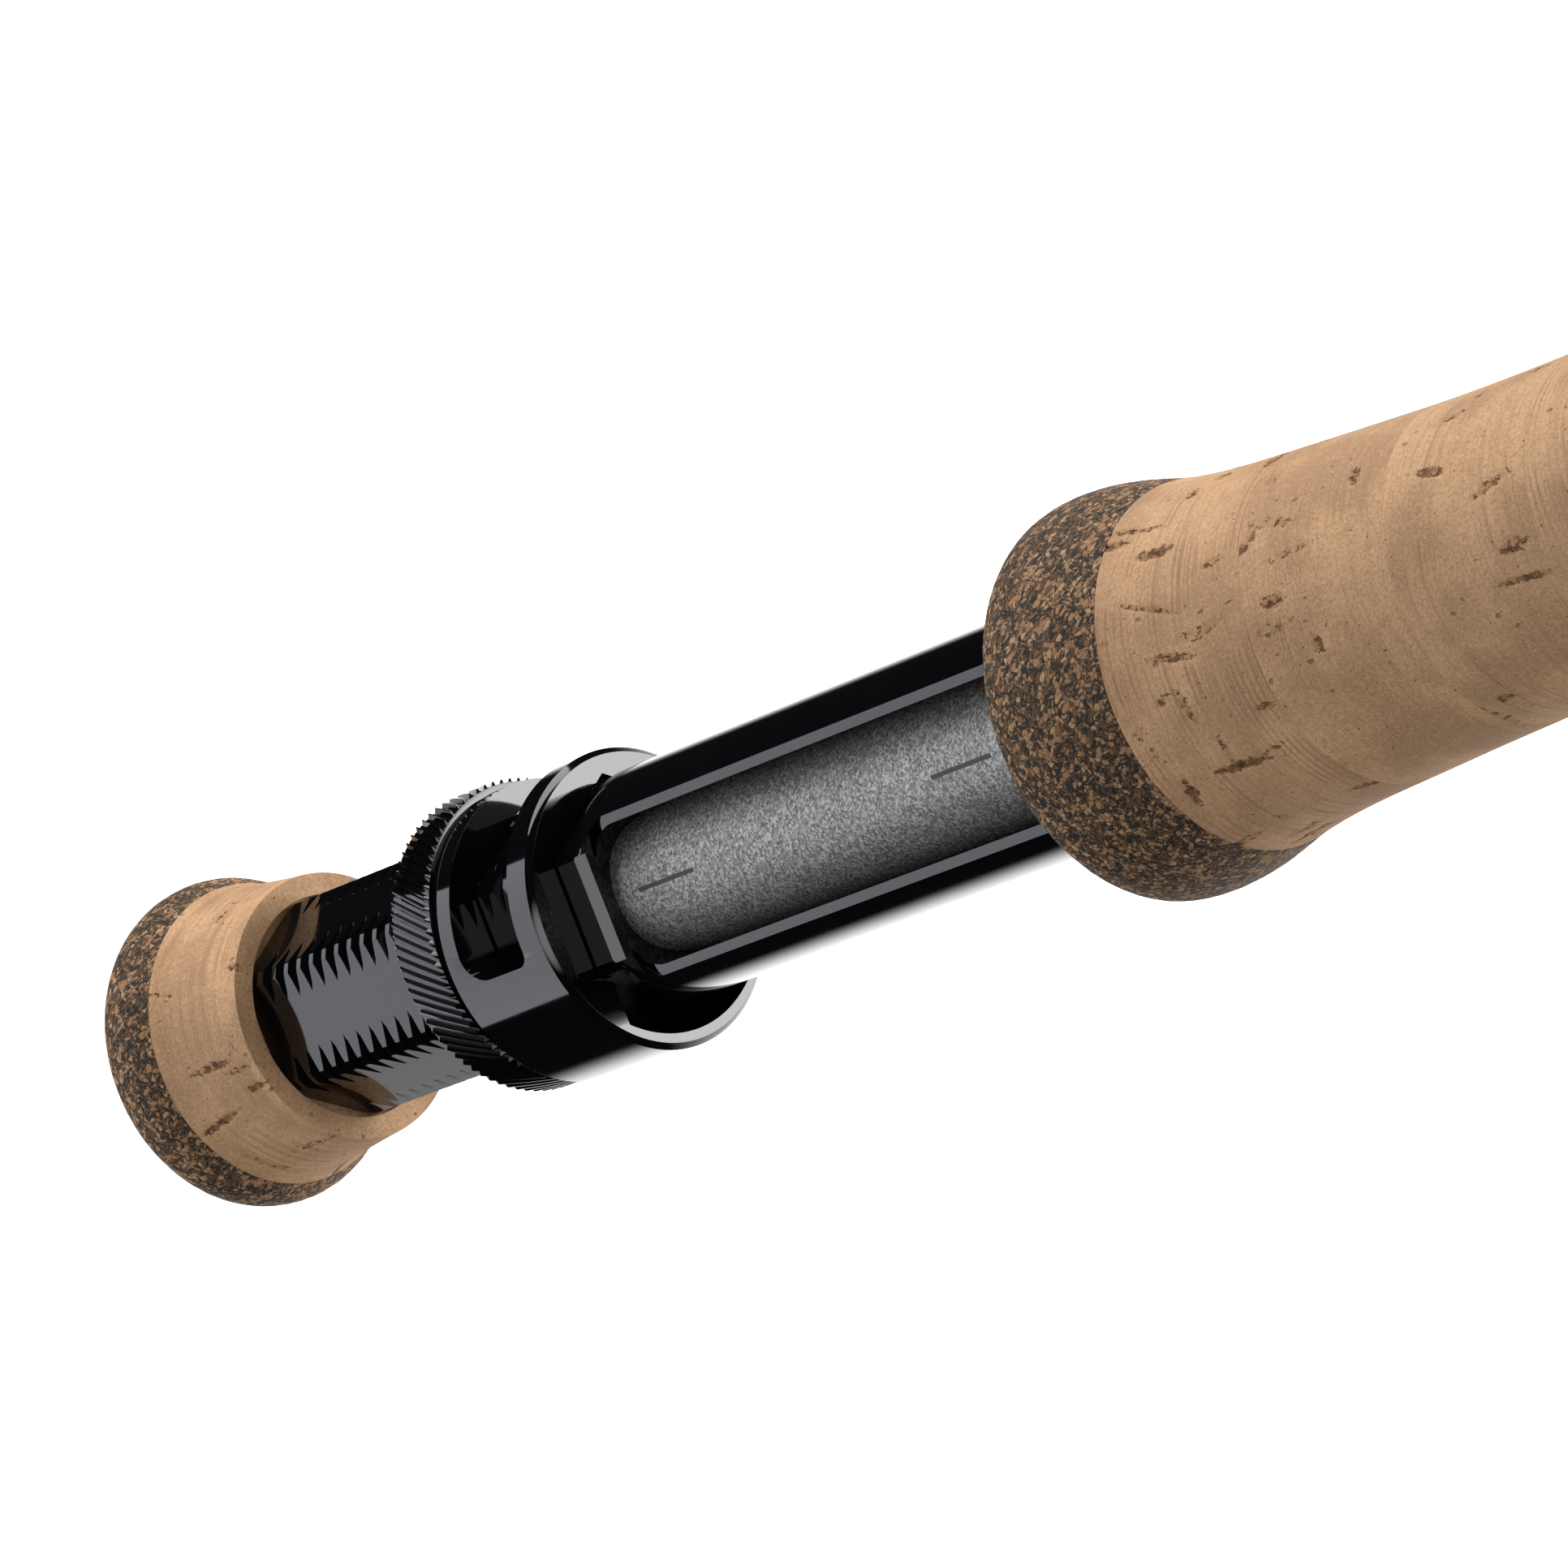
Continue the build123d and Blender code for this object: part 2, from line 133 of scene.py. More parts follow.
class RodStudioSettings(bpy.types.PropertyGroup):
    """Studio light."""

    key: brightness("Key light", "the key light", 3.4)
    box: brightness("Soft box", "the soft box", 1.4)
    backdrop: brightness("Backdrop", "the backdrop in glossy finishes", 2.2)
    glow: brightness("Top glow", "the overhead glow in glossy finishes", 6.0)
    front: brightness("Front glow", "the glow before the seat in glossy finishes", 2.4)
    fill: brightness("Fill", "the room on matt finishes", 0.30)


# ---- Node trees ---------------------------------------------------------------------------------


def by_maths(operation, swapped=False):
    """A method that joins a Number to other values with a Math node."""
    if swapped:
        return lambda self, other: self.maths(operation, other, self)
    return lambda self, *others: self.maths(operation, self, *others)


class Number:
    """A number socket that adds Math nodes when it is used in an expression."""

    def __init__(self, graph, socket):
        self.graph, self.socket = graph, socket

    def maths(self, operation, *values):
        return self.graph.number("ShaderNodeMath", {"operation": operation}, dict(enumerate(values)))

    __add__ = __radd__ = by_maths("ADD")
    __sub__ = by_maths("SUBTRACT")
    __rsub__ = by_maths("SUBTRACT", swapped=True)
    __mul__ = __rmul__ = by_maths("MULTIPLY")
    __truediv__ = by_maths("DIVIDE")
    __gt__ = by_maths("GREATER_THAN")
    __lt__ = by_maths("LESS_THAN")
    __abs__ = by_maths("ABSOLUTE")
    floor = by_maths("FLOOR")
    sine = by_maths("SINE")
    either = by_maths("MAXIMUM")

    def ramp(self, low, high):
        """0 below low and 1 above high, with a smooth rise between."""
        sockets = {0: self, 1: low, 2: high, 3: 0.0, 4: 1.0}
        return self.graph.number("ShaderNodeMapRange", {"interpolation_type": "SMOOTHSTEP"}, sockets)


class Graph:
    """A node tree that is built from Python."""

    def __init__(self, tree):
        self.tree = tree
        self.tree.nodes.clear()

    def add(self, kind, settings=None, sockets=None):
        """Adds a node, makes its settings first, then sets or links its sockets."""
        node = self.tree.nodes.new(kind)
        for key, value in (settings or {}).items():
            if key == "stops":
                ramp = node.color_ramp
                while len(ramp.elements) < len(value):
                    ramp.elements.new(0.5)
                for element, (position, shade) in zip(ramp.elements, value):
                    element.position, element.color = position, (*shade, 1.0)
            else:
                setattr(node, key, value)
        for key, value in (sockets or {}).items():
            value = getattr(value, "socket", value)
            if isinstance(value, bpy.types.NodeSocket):
                self.tree.links.new(value, node.inputs[key])
            elif node.inputs[key].type == "RGBA" and len(value) == 3:
                node.inputs[key].default_value = (*value, 1.0)
            else:
                node.inputs[key].default_value = value
        return node

    def number(self, kind, settings=None, sockets=None):
        return Number(self, self.add(kind, settings, sockets).outputs[0])


class Finish(Graph):
    """A material's nodes. Positions are the piece's own, in millimetres."""

    def __init__(self, name):
        self.material = bpy.data.materials.new(name + FINISH)
        self.material.use_nodes = True
        super().__init__(self.material.node_tree)
        place = self.add("ShaderNodeTexCoord").outputs["Object"]
        self.place = self.stretch(place, (1 / MM,) * 3)

    def stretch(self, vector, scale, turn=(0, 0, 0)):
        return self.add("ShaderNodeMapping", None, {0: vector, 2: turn, 3: scale}).outputs[0]

    def shift(self, vector, other):
        return self.add("ShaderNodeVectorMath", {"operation": "ADD"}, {0: vector, 1: other}).outputs[0]

    def axes(self):
        node = self.add("ShaderNodeSeparateXYZ", None, {0: self.place})
        return [Number(self, socket) for socket in node.outputs]

    def vector(self, x, y, z):
        return self.add("ShaderNodeCombineXYZ", None, {0: x, 1: y, 2: z}).outputs[0]

    def cloud(self, vector, scale, detail=2.0, roughness=0.5):
        sockets = {"Vector": vector, "Scale": scale, "Detail": detail, "Roughness": roughness}
        return self.number("ShaderNodeTexNoise", None, sockets)

    def cells(self, vector, scale, feature="F1", output="Distance"):
        node = self.add("ShaderNodeTexVoronoi", {"feature": feature}, {"Vector": vector, "Scale": scale})
        return Number(self, node.outputs[output])

    def attribute(self, name):
        node = self.add("ShaderNodeAttribute", {"attribute_name": name})
        return Number(self, node.outputs["Fac"])

    def mix(self, share, first, second):
        return self.add("ShaderNodeMix", {"data_type": "RGBA"}, {0: share, 6: first, 7: second}).outputs[2]

    def shades(self, value, stops, interpolation="LINEAR"):
        node = self.add("ShaderNodeValToRGB", {"stops": stops}, {0: value})
        node.color_ramp.interpolation = interpolation
        return node.outputs[0]

    def bump(self, height, strength, distance):
        """Relief from a height in 0 to 1, as deep as distance in metres."""
        return self.add(
            "ShaderNodeBump", None, {"Strength": strength, "Distance": distance, "Height": height}
        ).outputs[0]

    def done(self, **sockets):
        names = {key.replace("_", " "): value for key, value in sockets.items()}
        shader = self.add("ShaderNodeBsdfPrincipled", None, names)
        self.add("ShaderNodeOutputMaterial", None, {0: shader.outputs[0]})
        return self.material


# ---- Finishes -----------------------------------------------------------------------------------


def cork_finish(settings, first_ring, ring_length):
    """Sanded natural cork: growth lines round the rod, ragged bark pores and fine grain."""
    f = Finish("cork")
    _, _, z = f.axes()
    ring = ((z - first_ring) / ring_length).floor()
    character = f.number("ShaderNodeTexWhiteNoise", {"noise_dimensions": "1D"}, {1: ring + 3.0})
    place = f.shift(f.place, f.vector(ring * 31.7, ring * 17.3, 0.0))
    patches = f.cloud(place, 0.13, 3.0)
    mottle = f.cloud(place, 0.62, 3.0, 0.6)
    grain = f.cloud(place, 4.2, 4.0, 0.7)
    base = f.mix(patches.ramp(0.38, 0.60), tuple(settings.cork_dark), tuple(settings.cork_light))
    base = f.mix(mottle.ramp(0.35, 0.75) * 0.40, base, (0.50, 0.285, 0.148))
    base = f.mix(grain.ramp(0.46, 0.66) * 0.55, base, (0.36, 0.190, 0.090))
    base = f.mix((1.0 - grain.ramp(0.34, 0.50)) * 0.35, base, (0.78, 0.50, 0.29))
    base = f.mix(character * 0.10, base, (0.70, 0.44, 0.25))

    wander = f.cloud(place, 0.045, 1.0) * 5.0
    level = f.cloud(f.vector(0.0, ring * 5.1, z + wander), 0.85, 2.5, 0.6)
    line = (1.0 - abs(level - 0.5).ramp(0.0, 0.030)) * f.cloud(place, 0.22, 1.0).ramp(0.36, 0.62)
    fine = f.cloud(f.stretch(f.shift(place, f.vector(0.0, 0.0, wander)), (0.10, 0.10, 2.6)), 1.0, 2.0)
    base = f.mix(line * (character.ramp(0.0, 0.8) * 0.35 + 0.25), base, (0.32, 0.170, 0.085))
    base = f.mix(fine.ramp(0.48, 0.74) * 0.34, base, (0.38, 0.215, 0.110))

    pore = f.attribute("pore")
    rough = f.cloud(f.stretch(place, (1.0, 1.0, 0.7)), 2.7, 3.0, 0.62)
    crumble = f.cloud(place, 1.3, 2.0)
    halo = (pore * 1.2 + (crumble - 0.5) * 1.4).ramp(0.25, 0.95)
    base = f.mix(halo * 0.55, base, (0.42, 0.215, 0.085))
    pit = (pore * 0.70 + (rough - 0.5) * 2.7).ramp(0.50, 0.62)
    pit_shade = f.mix(crumble.ramp(0.38, 0.62), tuple(settings.pore), (0.27, 0.135, 0.058))
    base = f.mix(pit, base, pit_shade)

    speck_place = f.stretch(f.shift(place, f.vector(0.0, 0.0, rough * 0.8)), (1.0, 1.0, 0.62))
    chance = f.cells(speck_place, 0.95, output="Color") > 0.62
    reach = f.cloud(place, 0.16, 1.0).ramp(0.36, 0.66) * 0.12 + 0.05
    speck = (1.0 - (f.cells(speck_place, 0.95) / reach).ramp(0.6, 1.2)) * chance
    base = f.mix(speck * 0.7, base, (0.20, 0.100, 0.045))

    height = 1.0 - pit - speck * 0.7 + grain * 0.5 + mottle * 0.12 - line * 0.10 - halo * 0.2
    return f.done(
        Base_Color=base,
        Roughness=0.80 - grain * 0.18,
        Normal=f.bump(height, 0.8, 0.00018),
        Specular_IOR_Level=0.30,
    )


def burl_finish(settings):
    """Rubberised cork: tan and rust granules bound in dark rubber."""
    f = Finish("burl_cork")
    warp = f.cloud(f.place, 1.1, 2.0)
    place = f.shift(f.place, f.vector(warp * 0.9, warp * 0.7, warp * 0.9))
    place = f.stretch(place, (1.0, 1.0, 1.15), turn=(0.5, 0.3, 0.2))
    kind = f.cells(place, 2.5, output="Color")
    edge = f.cells(place, 2.5, "DISTANCE_TO_EDGE")
    small_kind = f.cells(place, 5.0, output="Color")
    small_edge = f.cells(place, 5.0, "DISTANCE_TO_EDGE")
    rubber, granule = tuple(settings.burl_rubber), tuple(settings.burl_granule)
    stops = (
        (0.0, rubber), (0.30, (0.062, 0.044, 0.028)), (0.46, (0.150, 0.080, 0.038)),
        (0.60, granule), (0.78, (0.54, 0.330, 0.170)), (0.90, (0.30, 0.125, 0.045)),
    )
    granules = f.shades(kind, stops, "CONSTANT")
    stops = (
        (0.0, rubber), (0.46, (0.085, 0.058, 0.034)),
        (0.60, (0.28, 0.150, 0.070)), (0.82, (0.44, 0.255, 0.125)),
    )
    crumbs = f.shades(small_kind, stops, "CONSTANT")
    dark = (kind < 0.50) * 1.0
    base = f.mix(dark * small_edge.ramp(0.015, 0.06), granules, crumbs)
    seam = (1.0 - edge.ramp(0.02, 0.12)) * (0.35 + 0.65 * f.cloud(f.place, 1.4, 1.0).ramp(0.35, 0.6))
    base = f.mix(seam, base, (0.024, 0.020, 0.015))
    grain = f.cloud(f.place, 6.0, 3.0, 0.7)
    base = f.mix(grain.ramp(0.45, 0.75) * 0.45, base, (0.045, 0.032, 0.020))
    height = edge.ramp(0.0, 0.14) * 0.6 + grain * 0.5 + small_edge.ramp(0.0, 0.1) * 0.2
    return f.done(
        Base_Color=base,
        Roughness=0.62 + grain * 0.2,
        Normal=f.bump(height, 0.7, 0.00012),
        Specular_IOR_Level=0.35,
    )


def anodised_finish(settings):
    """Gloss black anodising over turned metal: faint tool marks round the rod and fine handling wear."""
    f = Finish("black_anodised")
    turning = f.cloud(f.stretch(f.place, (0.05, 0.05, 7.0)), 1.0, 3.0)
    wear = f.cloud(f.place, 0.35, 4.0, 0.65)
    haze = f.cloud(f.place, 3.0, 3.0, 0.6)
    shade = f.mix(wear.ramp(0.45, 0.75) * 0.5, tuple(settings.anodised), (0.0034, 0.0037, 0.0046))
    roughness = 0.055 + wear.ramp(0.4, 0.8) * 0.035 + haze.ramp(0.5, 0.8) * 0.02
    return f.done(
        Base_Color=shade,
        Roughness=roughness,
        Normal=f.bump(turning * 0.6 + haze * 0.4, 0.06, 0.000008),
        IOR=1.62,
    )


def panel_finish(settings, dashes):
    """Bead-blasted grey sleeve with painted glints and a plain etched dash at each end of its window."""
    f = Finish("blasted_grey")
    _, y, z = f.axes()
    beads = f.cells(f.place, 7.5)
    painted_glint = f.cells(f.place, 6.0, output="Color")
    sweep = f.cloud(f.place, 0.25, 3.0)
    raster = ((z * 0.94 + y * 0.34) * 2 * math.pi / 0.52).sine()
    base = f.mix(beads.ramp(0.2, 0.8) * 0.4, tuple(settings.panel), (0.31, 0.30, 0.285))
    # Random cells of the blast: painted glints where a cell is bright, painted shade of facets that face
    # away where it is dark.
    base = f.mix(painted_glint.ramp(0.35, 1.0) * 0.8, base, (0.60, 0.585, 0.555))
    base = f.mix((1.0 - painted_glint.ramp(0.0, 0.45)) * 0.8, base, (0.05, 0.049, 0.047))
    base = f.mix(raster.ramp(0.2, 1.0) * 0.12, base, (0.11, 0.11, 0.113))
    across = 1.0 - abs(y - 0.2).ramp(0.15, 0.19)
    mark = None
    for low, high in dashes:
        middle, half = (low + high) / 2, (high - low) / 2
        dash = across * (1.0 - abs(z - middle).ramp(half - 0.02, half + 0.02))
        mark = dash if mark is None else mark.either(dash)
    base = f.mix(mark, base, tuple(settings.dash))
    height = beads * 0.8 + sweep * 0.2 + (1.0 - mark) * 0.4
    return f.done(
        Base_Color=base,
        Roughness=0.42 + beads * 0.2,
        Metallic=0.55 - mark * 0.5,
        Normal=f.bump(height, 0.35, 0.00003),
    )


def turned_finish(name, shade, roughness):
    """Turned bare metal: fine tool marks round the axis."""
    f = Finish(name)
    turning = f.cloud(f.stretch(f.place, (0.04, 0.04, 9.0)), 1.0, 3.0, 0.7)
    patches = f.cloud(f.place, 0.4, 3.0)
    darker = tuple(part * 0.72 for part in shade)
    base = f.mix(turning.ramp(0.3, 0.7) * 0.6, shade, darker)
    return f.done(
        Base_Color=f.mix(patches.ramp(0.4, 0.7) * 0.3, base, darker),
        Roughness=roughness + turning * 0.16,
        Metallic=1.0,
        Normal=f.bump(turning, 0.25, 0.00002),
    )


def carbon_finish():
    """Clear-coated carbon blank: fibres along the rod with a faint spiral of the rolling tape."""
    f = Finish("carbon_blank")
    x, y, z = f.axes()
    fibres = f.cloud(f.stretch(f.place, (5.0, 5.0, 0.22)), 1.0, 3.0, 0.6)
    around = f.number("ShaderNodeMath", {"operation": "ARCTAN2"}, {0: y, 1: x})
    tape = ((z / 2.6 + around / (2 * math.pi)) * 2 * math.pi).sine()
    base = f.mix(fibres.ramp(0.35, 0.7), (0.006, 0.0065, 0.008), (0.040, 0.043, 0.050))
    return f.done(
        Base_Color=f.mix(tape.ramp(0.75, 1.0) * 0.5, base, (0.004, 0.004, 0.005)),
        Roughness=0.30 + fibres * 0.15,
        Normal=f.bump(tape.ramp(0.6, 1.0) * 0.5 + fibres * 0.1, 0.15, 0.00003),
        Coat_Weight=1.0,
        Coat_Roughness=0.04,
    )


def ground_carbon_finish():
    """Spigot: carbon ground to size, matt, with fine rings left by the wheel."""
    f = Finish("carbon_spigot")
    rings = f.cloud(f.stretch(f.place, (0.06, 0.06, 11.0)), 1.0, 3.0, 0.7)
    fibres = f.cloud(f.stretch(f.place, (4.0, 4.0, 0.3)), 1.0, 2.0)
    base = f.mix(rings.ramp(0.3, 0.7), (0.022, 0.022, 0.024), (0.062, 0.062, 0.065))
    return f.done(
        Base_Color=f.mix(fibres.ramp(0.5, 0.8) * 0.5, base, (0.012, 0.012, 0.013)),
        Roughness=0.48 + rings * 0.2,
        Normal=f.bump(rings, 0.3, 0.00003),
    )


def thread_finish(settings):
    """Binding thread under clear epoxy."""
    f = Finish("thread_wrap")
    strands = f.cloud(f.stretch(f.place, (1.2, 1.2, 9.0)), 1.0, 2.0)
    base = f.mix(strands.ramp(0.35, 0.65), tuple(settings.thread), (0.055, 0.056, 0.062))
    return f.done(
        Base_Color=base,
        Roughness=0.35 + strands * 0.2,
        Normal=f.bump(strands, 0.2, 0.00003),
        Coat_Weight=1.0,
        Coat_Roughness=0.03,
    )


def nylon_finish():
    """Moulded black nylon, satin and faintly pebbled."""
    f = Finish("black_nylon")
    pebble = f.cloud(f.place, 6.0, 3.0)
    base = f.mix(pebble.ramp(0.3, 0.7), (0.012, 0.012, 0.013), (0.028, 0.028, 0.030))
    return f.done(Base_Color=base, Roughness=0.38 + pebble * 0.25, Normal=f.bump(pebble, 0.3, 0.00002))


def tape_finish():
    """Glued crepe tape of the arbors."""
    f = Finish("arbor_tape")
    crepe = f.cloud(f.stretch(f.place, (2.0, 2.0, 0.5)), 1.6, 3.0, 0.65)
    base = f.mix(crepe.ramp(0.35, 0.65), (0.50, 0.42, 0.29), (0.66, 0.58, 0.43))
    return f.done(Base_Color=base, Roughness=0.85 - crepe * 0.15, Normal=f.bump(crepe, 0.5, 0.00006))


# ---- Mesh work ----------------------------------------------------------------------------------


def new_object(name, mesh):
    made = bpy.data.objects.new(name, mesh)
    bpy.context.scene.collection.objects.link(made)
    return made


def mesh_of(name, points, faces):
    mesh = bpy.data.meshes.new(name)
    mesh.from_pydata([tuple(point) for point in points], [], [tuple(face) for face in faces])
    mesh.update()
    return mesh


def clean(mesh, distance=1e-7):
    """Merges doubles and turns every face outwards."""
    work = bmesh.new()
    work.from_mesh(mesh)
    bmesh.ops.remove_doubles(work, verts=work.verts, dist=distance)
    bmesh.ops.recalc_face_normals(work, faces=work.faces)
    work.to_mesh(mesh)
    work.free()
    return mesh


def turned_grid(name, radius, station):
    """A closed mesh of rows turned about Z: a radius for each row and step, and a station for each row."""
    rows, around = radius.shape
    theta = np.linspace(0, 2 * math.pi, around, endpoint=False)
    heights = np.broadcast_to(np.asarray(station, float)[:, None], radius.shape)
    points = np.stack((radius * np.cos(theta), radius * np.sin(theta), heights), -1).reshape(-1, 3) * MM
    row, step = np.meshgrid(np.arange(rows), np.arange(around), indexing="ij")
    above, beside = (row + 1) % rows, (step + 1) % around
    corners = (row * around + step, row * around + beside, above * around + beside, above * around + step)
    return mesh_of(name, points, np.stack(corners, -1).reshape(-1, 4))


def turned(name, outline, around=192):
    """A solid turned about Z from a closed outline of (radius, station) in millimetres."""
    radii, stations = np.array(outline, float).T
    return new_object(name, clean(turned_grid(name, np.repeat(radii[:, None], around, axis=1), stations)))


def joined_loops(name, first, second):
    """A closed solid between two loops that have the same number of points, in millimetres."""
    count = len(first)
    faces = [tuple(range(count)), tuple(range(count, 2 * count))]
    faces += [(i, (i + 1) % count, count + (i + 1) % count, count + i) for i in range(count)]
    return new_object(name, clean(mesh_of(name, np.array([*first, *second]) * MM, faces)))


def plain_mesh(piece):
    """Applies a piece's modifiers, so that it is a plain mesh."""
    graph = bpy.context.evaluated_depsgraph_get()
    graph.update()
    mesh = bpy.data.meshes.new_from_object(piece.evaluated_get(graph))
    piece.modifiers.clear()
    piece.data = mesh
    return piece


def modify(piece, kind, **settings):
    modifier = piece.modifiers.new(kind.title(), kind)
    for key, value in settings.items():
        setattr(modifier, key, value)
    return modifier


def cut(piece, *cutters):
    """Takes the cutters away from a piece."""
    for cutter in cutters:
        modify(piece, "BOOLEAN", operation="DIFFERENCE", solver="EXACT", object=cutter)
    plain_mesh(piece)
    for cutter in cutters:
        bpy.data.objects.remove(cutter)
    clean(piece.data, 1e-6)


def break_edges(piece, width):
    """Small rounded chamfers on the sharp edges."""
    modify(
        piece, "BEVEL", width=width, segments=2, limit_method="ANGLE", angle_limit=0.4,
        use_clamp_overlap=True, harden_normals=False,
    )
    plain_mesh(piece)


def smooth(piece, angle=SHARP_ANGLE, weighted=False):
    """Smooth shading between sharp edges."""
    piece.data.shade_smooth()
    piece.data.set_sharp_from_angle(angle=angle)
    if weighted:
        modify(piece, "WEIGHTED_NORMAL", keep_sharp=True, weight=100)
        plain_mesh(piece)


def copy_of_node(node, name):
    """A merged copy of a CAD node's mesh, with its flat faces joined up."""
    work = bmesh.new()
    work.from_mesh(NODES[node].data)
    bmesh.ops.remove_doubles(work, verts=work.verts, dist=1e-7)
    bmesh.ops.dissolve_limit(work, angle_limit=0.009, verts=work.verts, edges=work.edges)
    mesh = bpy.data.meshes.new(name)
    work.to_mesh(mesh)
    work.free()
    return new_object(name, mesh)


def dress(piece, material):
    piece.data.materials.clear()
    piece.data.materials.append(material)
    for face in piece.data.polygons:
        face.material_index = 0


def hand_over(piece, material, body, slot, *nodes):
    """Gives a finished piece its material, its body and the CAD nodes that it stands for."""
    dress(piece, material)
    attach(piece, body)
    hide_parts(*nodes)


def paint(material, *nodes):
    """Gives CAD nodes that stay a material."""
    for node in nodes:
        dress(NODES[node], material)


def finish_named(name, make, *values):
    """A finish by name, made the first time that it is wanted."""
    return bpy.data.materials.get(name + FINISH) or make(*values)


def anodised():
    return finish_named("black_anodised", anodised_finish, bpy.context.scene.rod_finish)


# ---- Cork ---------------------------------------------------------------------------------------

AROUND = 360
ROW_STEP = 0.3


def outer_radius(node, stations):
    """Outer radius of a turned CAD node at each station, in millimetres."""
    radii = []
    for station in stations:
        best = 0.0
        for step in range(24):
            angle = 2 * math.pi * step / 24
            out = Vector((math.cos(angle), math.sin(angle), 0.0))
            hit, point, _, _ = NODES[node].ray_cast(out * 0.03 + Vector((0, 0, station * MM)), -out)
            if hit:
                best = max(best, math.hypot(point.x, point.y) / MM)
        radii.append(best)
    return np.array(radii)


def pore_field(theta, z, radius, low, high, settings, seed):
    """Where bark pores lie on a ring, from 0 to 1: soft streaks that the finish breaks into ragged pits."""
    rng = np.random.default_rng(settings.seed * 101 + seed)
    field = np.zeros(np.broadcast(theta, z).shape)
    for _ in range(settings.marks * (2 if seed == 1 else 1)):
        angle, station = rng.uniform(0, 2 * math.pi), rng.uniform(low, high)
        half_length, half_width = rng.uniform(0.45, 1.0) ** 2 * 3.8, rng.uniform(0.26, 0.62)
        if rng.uniform() < 0.25:
            half_length, half_width = half_width, half_length * 0.7
        lean = rng.normal(0.0, 0.15)
        across = (theta - angle + math.pi) % (2 * math.pi) - math.pi
        across, along = across * radius, z - station
        across, along = across + lean * along, along - lean * across
        mark = 1.0 - (across / half_width) ** 2 - (along / half_length) ** 2
        field = np.maximum(field, np.clip(mark * 1.6, 0, 1) * rng.uniform(0.45, 1.0))
    return field


def turned_cork(name, stations, radii, bore, relief):
    """A ring of cork turned to an outline and lowered by relief, which also fills the pore attribute."""
    rows = len(stations)
    radii, stations = np.array([*zip(radii, stations), *bore], float).T
    radius = np.repeat(radii[:, None], AROUND, axis=1)
    pore = np.zeros_like(radius)
    theta = np.linspace(0, 2 * math.pi, AROUND, endpoint=False)
    drop, pore[:rows] = relief(theta[None, :], stations[:rows, None], radii[:rows, None])
    radius[:rows] -= drop
    mesh = turned_grid(name, radius, stations)
    layer = mesh.attributes.new("pore", "FLOAT", "POINT")
    layer.data.foreach_set("value", pore.reshape(-1).astype(np.float32))
    piece = new_object(name, clean(mesh))
    smooth(piece)
    return piece


def noise_on(theta, z, radius, seed, scale):
    """Smooth noise on a turned surface, for each row of stations and each step of the angle."""
    return np.array([
        [noise.noise(Vector((r * math.cos(t), r * math.sin(t), s + seed)) * scale) for t in theta[0]]
        for r, s in zip(radius[:, 0], z[:, 0])
    ])


def cork_relief(settings, seed, low, high):
    """Relief of sanded cork: bark pores and a hair's breadth of step at the glue lines."""

    def relief(theta, z, radius):
        pore = pore_field(theta, z, radius, low, high, settings, seed)
        ragged = noise_on(theta, z, radius, seed * 7, 1.7)
        swell = noise_on(theta, z, radius, seed * 9, 0.16)
        drop = np.clip(pore * 0.8 + 1.6 * ragged - 0.35, 0, 1) * pore * settings.mark_depth / MM
        to_glue_line = np.minimum(z - low, high - z)
        groove = 0.03 * np.exp(-((to_glue_line / 0.12) ** 2))
        return drop + groove + 0.02 * (1 + swell), pore

    return relief


def burl_relief(seed, flat_end=-1.0):
    """Relief of rubberised cork: granules that stand a little proud, and a flat end left as it is."""

    def relief(theta, z, radius):
        grains = noise_on(theta, z, radius, seed * 5, 1.5)
        return (0.03 + 0.03 * grains) * (z > flat_end + 1e-6), np.zeros_like(grains)

    return relief


def bore_outline(*steps):
    """Bore rows from the top down: (low, high, radius) of each step."""
    rows = []
    for low, high, radius in steps:
        rows += [(radius, high), (radius, low)]
    return rows


def span(node):
    """Lowest and highest station of a node, in millimetres."""
    low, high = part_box(node)
    return low.z / MM, high.z / MM


def stations_between(low, high, round_low=0.0):
    """Stations about a row step apart, closer together over a rounded start."""
    spots = list(np.linspace(low, high, max(2, round((high - low) / ROW_STEP)) + 1))
    if round_low:
        fine = [low + round_low * (1 - math.cos(math.pi / 2 * step / 14)) for step in range(15)]
        spots = fine + [spot for spot in spots if spot > low + round_low + ROW_STEP / 2]
    return np.array(spots)


def even_out(stations, radii, reach):
    """Eases the facets of an outline."""
    eased = []
    for station in stations:
        room = min(reach, station - stations[0], stations[-1] - station)
        near = abs(stations - station) <= room + 1e-6
        eased.append(radii[near].mean())
    return np.array(eased)


def build_ring(node, material, slot, bore, relief, round_low=0.0, reach=0.0):
    low, high = span(node)
    stations = stations_between(low, high, round_low)
    inside = np.clip(stations, low + 0.01, high - 0.01)
    radii = outer_radius(node, inside)
    if reach:
        radii = even_out(stations, radii, reach)
    piece = turned_cork(node + "_turned", stations, radii, bore, relief)
    hand_over(piece, material, "rod", slot, node)


